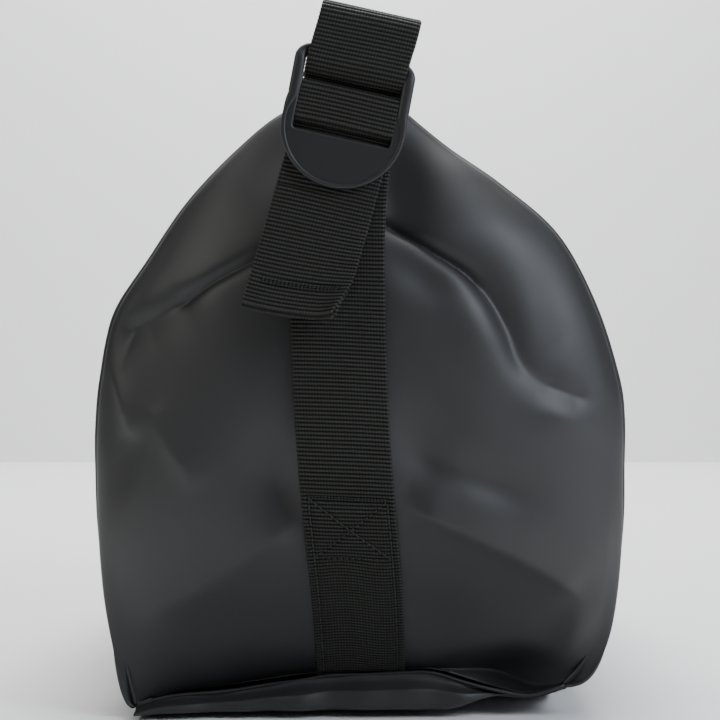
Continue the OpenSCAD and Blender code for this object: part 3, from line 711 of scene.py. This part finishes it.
def end_strap_ribbon(grid):
    """The end strap's ribbon: on the end panel up to the boxed cross, then free to behind the ladder bar."""
    z = np.linspace(17.5, 245, 300)
    clear = WEB_T / 2 + 0.3
    lies = [np.interp(z, *panel_columns(grid, dx).T) for dx in (-17, -9, 0, 9, 17)]
    y = np.min(lies, axis=0) - clear
    free = LOCK_AT[1] + TURN_R
    lift = smooth_step(z, 96, 125)
    y = y * (1 - lift) + np.minimum(y, -(SEAM_Y + END_BULGE) - clear) * lift
    share = smooth_step(z, 150, 236)
    y = y * (1 - share) + free * share
    centre = resample(np.stack([strap_x(z), y, z], axis=1), 0.28)
    lean = np.radians(strap_lean(centre[:, 2]))
    return Ribbon(centre, np.stack([np.cos(lean), 0 * lean, -np.sin(lean)], axis=1))


# ---------------------------------------------------------------- materials


class Value:
    """A number that varies over a surface: a shader socket whose arithmetic adds Math nodes."""

    def __init__(self, shader, socket):
        self.shader = shader
        self.socket = socket

    def math(self, operation, *others):
        return self.shader.node("ShaderNodeMath", {"operation": operation}, self, *others)

    def __add__(self, other):
        return self.math("ADD", other)

    __radd__ = __add__

    def __mul__(self, other):
        return self.math("MULTIPLY", other)

    __rmul__ = __mul__

    def __rsub__(self, other):
        return self * -1 + other

    def __pow__(self, other):
        return self.math("POWER", other)

    def between(self, low, high):
        """0 at low, 1 at high, straight between and held outside."""
        return self.shader.node("ShaderNodeMapRange", {"clamp": True}, self, low, high, 0.0, 1.0)

    def wave(self, pitch):
        """Cosine of the number, with this pitch."""
        return (self * (2 * math.pi / pitch)).math("COSINE")


class Shader:
    """A material's node tree with one Principled surface."""

    def __init__(self, name, **settings):
        self.material = bpy.data.materials.new(name)
        self.material.use_nodes = True
        self.tree = self.material.node_tree
        self.surface = self.tree.nodes["Principled BSDF"]
        for key, value in settings.items():
            self.surface.inputs[key.replace("_", " ")].default_value = value

    def node(self, kind, settings, *values, output=0, **named):
        """Adds a node, sets it, then fills its sockets in order or by name. Gives one output."""
        made = self.tree.nodes.new(kind)
        for key, value in settings.items():
            setattr(made, key, value)
        for key, value in [*enumerate(values), *named.items()]:
            socket = made.inputs[key.replace("_", " ") if isinstance(key, str) else key]
            if isinstance(value, Value):
                self.tree.links.new(value.socket, socket)
            elif value is not None:
                socket.default_value = value
        return Value(self, made.outputs[output])

    def place(self):
        """Object coordinates, in metres."""
        return self.node("ShaderNodeTexCoord", {}, output=3)

    def uv(self):
        """The piece's own UVs, in metres."""
        return self.node("ShaderNodeTexCoord", {}, output=2)

    def two(self, vector):
        """A vector's first two numbers."""
        first = self.node("ShaderNodeSeparateXYZ", {}, vector)
        return first, Value(self, first.socket.node.outputs[1])

    def noise(self, size, detail):
        """Noise from 0 to 1 whose grains are size metres across."""
        return self.node("ShaderNodeTexNoise", {}, Vector=self.place(), Scale=1 / size, Detail=detail,
                         Roughness=0.5)

    def mix(self, share, one, other):
        """Colour between one and other."""
        unused = [None] * 5
        return self.node("ShaderNodeMix", {"data_type": "RGBA"}, share, *unused, one, other, output=2)

    def bump(self, height, distance, strength):
        """Normal bent by a height of 0 to 1 that stands for distance metres."""
        return self.node("ShaderNodeBump", {}, Strength=strength, Distance=distance, Height=height)

    def finish(self, **links):
        """Links values to the surface's sockets and gives the material."""
        for key, value in links.items():
            socket = self.surface.inputs[key.replace("_", " ")]
            self.tree.links.new(value.socket, socket)
        return self.material


def grey(level, blue=0.0):
    """Grey of this level, with a share more of blue."""
    return (level, level, level * (1 + blue), 1)


def coated_fabric():
    """Matte coated cloth: near-black, with a fine pebbled skin and slow cloudy wear."""
    s = Shader("coated_fabric", Specular_IOR_Level=0.5)
    cloud = s.noise(0.035, 4)
    grain = s.noise(0.00045, 2)
    skin = s.noise(0.0022, 3)
    colour = s.mix(cloud, grey(0.0125, 0.04), grey(0.0175, 0.04))
    height = grain * 0.5 + skin * 0.5
    return s.finish(Base_Color=colour, Roughness=0.44 + cloud * 0.1 + grain * 0.05,
                    Normal=s.bump(height, 0.00006, 0.6))


def woven_web():
    """Nylon webbing: ribs across it broken into beads by the warp, with painted shade in the grooves and a
    painted highlight on the rib crowns and bead tops.
    """
    s = Shader("webbing", Specular_IOR_Level=0.25)
    a, run = s.two(s.uv())
    bead = a.wave(WARP_PITCH * MM) * 0.5 + 0.5
    rib = (run * (math.pi / (RIB_PITCH * MM))).math("COSINE").math("ABSOLUTE")
    fibre = s.noise(0.0004, 2)
    lit = rib ** 1.3 * (0.66 + bead * 0.34)
    # the colour holds painted light: near-black painted shade in the grooves between the ribs, and a painted
    # highlight on the rib crowns, brighter on the bead tops
    colour = s.mix(lit.between(0.35, 0.85), grey(0.0004), (0.024, 0.024, 0.019, 1))
    return s.finish(Base_Color=colour, Roughness=0.72 - lit * 0.34 + fibre * 0.14,
                    Normal=s.bump(bead * rib * 0.7 + fibre * 0.3, 0.00018, 0.9))


def moulded_plastic():
    """Satin moulded plastic with a fine spark texture."""
    s = Shader("moulded_plastic", Specular_IOR_Level=0.5)
    grain = s.noise(0.0003, 2)
    cloud = s.noise(0.012, 3)
    return s.finish(Base_Color=s.mix(cloud, grey(0.0075, 0.08), grey(0.0105, 0.08)),
                    Roughness=0.42 + grain * 0.12, Normal=s.bump(grain, 0.00003, 0.5))


def plain_thread():
    """Black sewing thread, lighter where its fibres catch the light."""
    s = Shader("thread", Specular_IOR_Level=0.4)
    fibre = s.noise(0.0003, 2)
    return s.finish(Base_Color=s.mix(fibre, grey(0.006), grey(0.03)), Roughness=0.55 + fibre * 0.2)


def zip_metal():
    """Dark plated metal, rubbed a little brighter in patches."""
    s = Shader("zip_metal", Metallic=1.0)
    rub = s.noise(0.004, 4)
    fine = s.noise(0.0004, 2)
    return s.finish(Base_Color=s.mix(rub.between(0.35, 0.7), grey(0.05), grey(0.13, 0.05)),
                    Roughness=0.3 + fine * 0.15, Normal=s.bump(fine, 0.00002, 0.4))


def zip_coil():
    """Bright-worn nylon coil."""
    s = Shader("zip_coil", Specular_IOR_Level=0.55)
    cloud = s.noise(0.01, 2)
    return s.finish(Base_Color=s.mix(cloud, grey(0.012), grey(0.022)), Roughness=0.33 + cloud * 0.1)


def zip_tape():
    """Woven tape: a fine herringbone of diagonal threads that turns every 2.4 mm."""
    s = Shader("zip_tape", Specular_IOR_Level=0.4)
    turn, pitch = 0.0024, 0.0009
    x, y = s.two(s.place())
    lean = x.wave(2 * turn).math("ABSOLUTE")
    twill = (y * (2 * math.pi / pitch) + lean * 6).math("COSINE") * 0.5 + 0.5
    return s.finish(Base_Color=s.mix(twill, grey(0.007), grey(0.022)), Roughness=0.6 + twill * 0.12,
                    Normal=s.bump(twill, 0.0001, 0.6))


def pale_floor():
    """Plain pale studio paper."""
    s = Shader("floor")
    cloud = s.noise(0.2, 2)
    return s.finish(Base_Color=s.mix(cloud, grey(0.78), grey(0.8)), Roughness=0.6 + cloud * 0.1)


CLOTH = coated_fabric()
WEB = woven_web()
PLASTIC = moulded_plastic()
THREAD = plain_thread()
FLOOR = pale_floor()
METAL = zip_metal()
COIL = zip_coil()
TAPE = zip_tape()


def dress(objects, material):
    """Gives the objects this material and no other."""
    for obj in objects:
        obj.data.materials.clear()
        obj.data.materials.append(material)


# ---------------------------------------------------------------- camera, light and floor


def add_light(name, at, aim, size, power, colour):
    """Square soft light at a place, pointing at another, in metres."""
    data = bpy.data.lights.new(name, "AREA")
    data.size = size
    data.energy = power
    data.color = colour
    obj = bpy.data.objects.new(name, data)
    bpy.context.scene.collection.objects.link(obj)
    d = np.array(aim, float) - np.array(at, float)
    obj.location = at
    obj.rotation_euler = (math.atan2(math.hypot(d[0], d[1]), -d[2]), 0, math.atan2(-d[0], d[1]))


camera_data = bpy.data.cameras.new("camera")
camera_data.lens = 81.2
camera = bpy.data.objects.new("camera", camera_data)
camera.location = (0, -0.840, 0.153)
camera.rotation_euler = (math.pi / 2, 0, 0)
bpy.context.scene.collection.objects.link(camera)
bpy.context.scene.camera = camera

world = bpy.data.worlds.new("studio")
world.use_nodes = True
sky = world.node_tree.nodes["Background"]
sky.inputs["Color"].default_value = (0.92, 0.95, 1.0, 1)
sky.inputs["Strength"].default_value = 0.10
bpy.context.scene.world = world
BAG_MIDDLE = (0, -0.12, 0.14)
add_light("key_right", (0.80, -0.70, 0.76), BAG_MIDDLE, 0.5, 11, (0.84, 0.90, 1.0))
add_light("side_right", (0.95, -0.45, 0.24), BAG_MIDDLE, 0.4, 1.3, (0.86, 0.91, 1.0))
add_light("side_left", (-0.85, -0.62, 0.78), BAG_MIDDLE, 0.6, 4.0, (1.0, 0.98, 0.93))
add_light("top", (0.1, -0.2, 1.3), (0, -0.05, 0.15), 0.8, 5, (0.95, 0.97, 1.0))
add_light("back_wall", (0, 0.75, 1.9), (0, 1.6, 0.5), 1.2, 80, (1.0, 1.0, 1.0))

bpy.ops.mesh.primitive_plane_add(size=8, location=(0, 0, -0.0005))
floor = bpy.context.object
floor.name = "floor"
bpy.ops.mesh.primitive_plane_add(size=2.2, location=(0, 1.6, 1.09), rotation=(math.pi / 2, 0, 0))
wall = bpy.context.object
wall.name = "wall"
dress([floor, wall], FLOOR)

# ---------------------------------------------------------------- pieces


def shell_piece(name, grid, node, flip=False):
    """A panel of the shell, from its outer face."""
    obj = make_mesh(name, *closed_sheet(grid, FABRIC_T, flip))
    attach(obj, "bag")
    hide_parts(node)
    return obj


def bag_piece(name, built, node=None):
    """A piece that rides on the bag."""
    obj = make_mesh(name, *built)
    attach(obj, "bag")
    if node:
        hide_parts(node)
    return obj


shell = [shell_piece("front_end_cloth", front_grid, "end_panel_front"),
         shell_piece("rear_end_cloth", mirrored(rear_grid), "end_panel_rear", True),
         shell_piece("left_side_cloth", side_grid(left_curve, -1), "side_panel_left", True),
         shell_piece("right_side_cloth", side_grid(right_curve, 1), "side_panel_right"),
         shell_piece("base_cloth", base_grid(), "base_panel", True)]
dress(shell, CLOTH)

points, faces = lock_points()
locks = both_ends("lock_body", (at_lock(points), faces), "lock_{end}",
                  ["ladder_lock_{end}"])
dress(locks, PLASTIC)

turn_ribbon = lock_ribbon(turn_path, shift=lambda y, z: -smooth_step(-z, 14, -hinge_h), side=-1)
turns = both_ends("turn_web", web_points(turn_ribbon, SLACK_W), "lock_{end}", ["strap_turn_{end}"])

tail_ribbon = lock_ribbon(tail_path, TAIL_AT + [0, 0.7, 0], TAIL_X, TAIL_Z, side=-1)
SEAM_HALF = 15.5  # half the length of a row across the webbing
TAIL_SEAM = 38.5  # how far down the tail its bar of stitches is
tail_rows = [(-SEAM_HALF, TAIL_SEAM + d, SEAM_HALF, TAIL_SEAM + d + 0.5, 1.5) for d in (-0.8, 0, 0.8)]
tail_body = web_points(tail_ribbon, SLACK_W, under_columns=46, press=seam_press(tail_rows, 0.5))
tail_sewing = sewn(tail_ribbon, tail_rows)
tails = both_ends("tail_web", (curled(tail_body[0]), *tail_body[1:]), "tail_{end}",
                  ["strap_tail_{end}"])
threads = both_ends("tail_thread", (curled(tail_sewing[0]), tail_sewing[1]), "tail_{end}",
                    ["tail_stitch_{end}"])

ROWS_LOW, BOX_LOW, BOX_TOP = 19, 72.5, 97  # heights of the strap's stitch rows' foot and of its boxed cross
straps = []
for end, grid in (("front", front_grid), ("rear", rear_grid)):
    ribbon = end_strap_ribbon(grid)
    low, box, cross = np.interp([ROWS_LOW, BOX_LOW, BOX_TOP], ribbon.centre[:, 2], ribbon.run)
    side = WEB_W / 2 - 3.1
    rows = [(-side, low, -side, cross, 2.3), (side, low, side, cross, 2.3), (-side, box, side, box, 2.3),
            (-side, cross, side, box, 2.5), (-side, box, side, cross, 2.5)]
    rows += [(-side, cross + d, side, cross + d, 1.3) for d in (0, 0.9)]

    def pucker(a, run, box=box):
        """How far the ribs wander where the strap is sewn down below its box."""
        sewn_down = (1 - smooth_step(run, box - 4, box + 8)) * smooth_step(run, 0, 6)
        return 0.9 * np.sin(a / 5.2 - 0.6) * sewn_down

    width = WEB_W + (SLACK_W - WEB_W) * smooth_step(ribbon.centre[:, 2], 190, 240)
    built = web_points(ribbon, width, press=seam_press(rows), wobble=pucker)
    sewing = sewn(ribbon, rows)
    if end == "rear":
        built, sewing = mirror_image(built), mirror_image(sewing)
    strap = make_mesh(f"end_strap_web_{end}", *built)
    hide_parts(f"end_strap_{end}")
    y = LOCK_AT[1] * MM * (1 if end == "front" else -1)
    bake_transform(strap)
    straps.append(strap)
    threads.append(bag_piece(f"box_thread_{end}", sewing, f"box_stitch_{end}"))

carry_ribbon = lock_ribbon(carry_path(), step=0.42, shift=carry_shift)
carry = make_mesh("carry_web", *web_points(carry_ribbon, SLACK_W, top_columns=30, under_columns=22))
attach(carry, "carry")
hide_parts("carry_strap")
dress([*turns, *tails, *straps, carry], WEB)

y = np.linspace(arch_start[0] + 4, arch_start[0] + SEWN_L, 60)
arch_ribbon = Ribbon(at_lock(np.stack([carry_shift(y, arch_z(y)), y, arch_z(y)], axis=1)), LOCK_X)
LOOP_LOW, LOOP_TOP = 22, 38  # where the crossed box of the doubled end starts and stops, along the arch
loop_rows = [(-SEAM_HALF, a, SEAM_HALF, b, pitch) for a, b, pitch in
             ((LOOP_LOW, LOOP_LOW, 2.3), (LOOP_LOW + 4, LOOP_LOW + 4, 2.3), (LOOP_LOW, LOOP_TOP, 2.4),
              (LOOP_TOP, LOOP_LOW, 2.4), (LOOP_TOP, LOOP_TOP, 2.3))]
threads += both_ends("loop_thread", sewn(arch_ribbon, loop_rows), "carry", ["loop_stitch_{end}"])
dress(threads, THREAD)

# ---------------------------------------------------------------- zip

TAPE_Z = 255.2
TAPE_T = 0.7
COIL_END = 123.0
COIL_PITCH = 1.7


def tape_grid(side):
    """A zip tape's upper face: flat across, with a corded bead at its inner edge and a slow ripple along."""
    across = np.linspace(2.6, 19, 25)[None, :]
    y = np.linspace(-151.5, 151.5, 161)[:, None]
    bead = 0.35 * np.exp(-((across - 3.4) / 0.7) ** 2)
    ripple = 0.12 * np.sin(y / 9 + side) * smooth_step(across, 4, 9)
    z = TAPE_Z + 0.35 + bead + ripple
    return np.stack([side * across + 0 * y, y + 0 * across, z], axis=2)


def coil_points(side):
    """A zip's coil: a helix of flattened loops, (1.02 cos a, 1.45 sin a) across, one turn to each pitch."""
    turns = int(2 * COIL_END / COIL_PITCH)
    a = np.linspace(0, 2 * np.pi * turns, turns * 10)
    x = side * (1.68 + 1.02 * np.cos(a))
    z = TAPE_Z + 0.15 + 1.45 * np.sin(a)
    y = -COIL_END + a / (2 * np.pi) * COIL_PITCH + 0.35 * np.sin(a)
    return tube(np.stack([x, y, z], axis=1), 0.36, 6, up=(0.3, 1, 0.1))


def pad_grid(lo, hi, puff, rows=40, columns=24, edge=0.6):
    """Upper face of a small sewn tab over the box lo to hi: it rises by puff * (1 - |u|^6)(1 - |v|^6) and its
    rim rounds down to the middle of its thickness."""
    u = np.sin(np.linspace(-np.pi / 2, np.pi / 2, columns))[None, :]
    v = np.sin(np.linspace(-np.pi / 2, np.pi / 2, rows))[:, None]
    x = (lo[0] + hi[0]) / 2 + (hi[0] - lo[0]) / 2 * u
    y = (lo[1] + hi[1]) / 2 + (hi[1] - lo[1]) / 2 * v
    top, middle = hi[2], (lo[2] + hi[2]) / 2
    in_x, in_y = (1 - np.abs(u)) * (hi[0] - lo[0]) / 2, (1 - np.abs(v)) * (hi[1] - lo[1]) / 2
    rim = np.clip(np.minimum(in_x, in_y) / edge, 0, 1)
    z = middle + (top - middle) * np.sqrt(1 - (1 - rim) ** 2)
    z = z + puff * (1 - np.abs(u) ** 6) * (1 - np.abs(v) ** 6)
    return np.stack([x + 0 * v, y + 0 * u, z], axis=2)


def pad_piece(lo, hi, puff):
    """Closed tab from its upper face and, beneath it, a flat one turned over."""
    upper = pad_grid(lo, hi, puff)
    lower = pad_grid(lo, hi, 0.0)
    lower[:, :, 2] = lo[2] + hi[2] - lower[:, :, 2]
    rows, columns = upper.shape[:2]
    faces = grid_faces(rows, columns)
    total = rows * columns
    rim = border(rows, columns)
    nxt = np.roll(rim, -1)
    edge = np.stack([rim + total, nxt + total, nxt, rim], axis=1).tolist()
    return (np.vstack([upper.reshape(-1, 3), lower.reshape(-1, 3)]),
            faces + [[k + total for k in f[::-1]] for f in faces] + edge)


def flat_ribbon(x0, y0, x1, y1, z):
    """Straight ribbon on a level face, which threads are laid along."""
    line = np.stack([np.linspace(x0, x1, 20), np.linspace(y0, y1, 20), np.full(20, z)], axis=1)
    along = np.array([x1 - x0, y1 - y0, 0.0])
    return Ribbon(line, np.cross(along / np.linalg.norm(along), [0, 0, 1.0]))


def sewn_level(lines, z, pitch, radius=THREAD_R):
    """Stitches along straight lines (x0, y0, x1, y1) on a level face z high."""
    return join_parts([sewn(flat_ribbon(x0, y0, x1, y1, z), [(0, 0, 0, math.hypot(x1 - x0, y1 - y0), pitch)],
                            0, radius) for x0, y0, x1, y1 in lines])


def softened(name, node, body, width):
    """A copy of a CAD node with its edges rounded over."""
    mesh = frame["nodes"][node].data.copy()
    edit = bmesh.new()
    edit.from_mesh(mesh)
    bmesh.ops.remove_doubles(edit, verts=edit.verts, dist=1e-6)
    bmesh.ops.dissolve_limit(edit, angle_limit=0.02, verts=edit.verts, edges=edit.edges)
    edit.to_mesh(mesh)
    edit.free()
    obj = bpy.data.objects.new(name, mesh)
    bpy.context.scene.collection.objects.link(obj)
    edges = obj.modifiers.new("edges", "BEVEL")
    edges.width = width * MM
    edges.segments = 3
    edges.limit_method = "ANGLE"
    edges.angle_limit = math.radians(35)
    mesh.polygons.foreach_set("use_smooth", np.full(len(mesh.polygons), True))
    mesh.set_sharp_from_angle(angle=math.radians(40))
    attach(obj, body)
    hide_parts(node)
    return obj


tapes = [bag_piece(f"tape_cloth_{word}", closed_sheet(tape_grid(side), TAPE_T, side > 0),
                   f"zip_tape_{word}") for word, side in (("left", -1), ("right", 1))]
dress(tapes, TAPE)
coils = [bag_piece(f"coil_{word}", coil_points(side), f"zip_coil_{word}")
         for word, side in (("left", -1), ("right", 1))]
dress(coils, COIL)

# The end tab's and the pull tab's boxes, from corner to corner, and where their stitches run
TAB_LOW, TAB_HIGH = (-12.4, -154.0, 255.8), (12.4, -123.0, 257.1)
TAB_SEW_X, TAB_SEW_OUT, TAB_SEW_IN = 10.4, -151.5, -125.4
PULL_LOW, PULL_HIGH = (-4.2, -42.0, 258.0), (4.2, -22.0, 261.4)
PULL_SEW_X, PULL_SEW_OUT, PULL_SEW_IN = 3, -40.6, -26

end_tabs = both_ends("end_tab_cloth", pad_piece(TAB_LOW, TAB_HIGH, 0.4), "bag",
                     ["zip_end_tab_{end}"])
tab_seam = sewn_level([(-TAB_SEW_X, TAB_SEW_OUT, -TAB_SEW_X, TAB_SEW_IN),
                       (TAB_SEW_X, TAB_SEW_IN, TAB_SEW_X, TAB_SEW_OUT),
                       (-TAB_SEW_X, TAB_SEW_IN, TAB_SEW_X, TAB_SEW_IN)], TAB_HIGH[2] + 0.45, 2.3)
tab_threads = both_ends("end_tab_thread", tab_seam, "bag", [])

pull_tabs = both_ends("pull_tab_cloth", pad_piece(PULL_LOW, PULL_HIGH, 0.2), "puller_{end}",
                      ["pull_tab_{end}"])
dress([*end_tabs, *pull_tabs], CLOTH)
pull_seam = sewn_level([(-PULL_SEW_X, PULL_SEW_OUT, -PULL_SEW_X, PULL_SEW_IN),
                        (PULL_SEW_X, PULL_SEW_IN, PULL_SEW_X, PULL_SEW_OUT),
                        (-PULL_SEW_X, PULL_SEW_IN, PULL_SEW_X, PULL_SEW_IN),
                        (PULL_SEW_X, PULL_SEW_OUT, -PULL_SEW_X, PULL_SEW_OUT)], PULL_HIGH[2] + 0.15, 1.8, 0.2)
pull_threads = both_ends("pull_tab_thread", pull_seam, "puller_{end}", [])
dress([*tab_threads, *pull_threads], THREAD)

metal = []
for end in ("front", "rear"):
    metal.append(softened(f"slider_body_{end}", f"zip_slider_{end}", f"slider_{end}", 0.28))
    metal.append(softened(f"puller_body_{end}", f"zip_puller_{end}", f"puller_{end}", 0.3))
dress(metal, METAL)

# The binding follows the end seam inside, down the left edge, along the base and up the right edge
BINDING_IN = 4.5
BINDING_R = 1.6
behind = front_grid + BINDING_IN * facing(front_grid, 1, 1)
route = np.vstack([behind[-16:22:-9, 7], behind[14, 14:-14:9], behind[22:-16:9, -8]])
binding = tube(curve_through(route, 260), BINDING_R, 10)
bindings = both_ends("binding_web", binding, "bag", ["seam_binding_{end}"])
dress(bindings, TAPE)
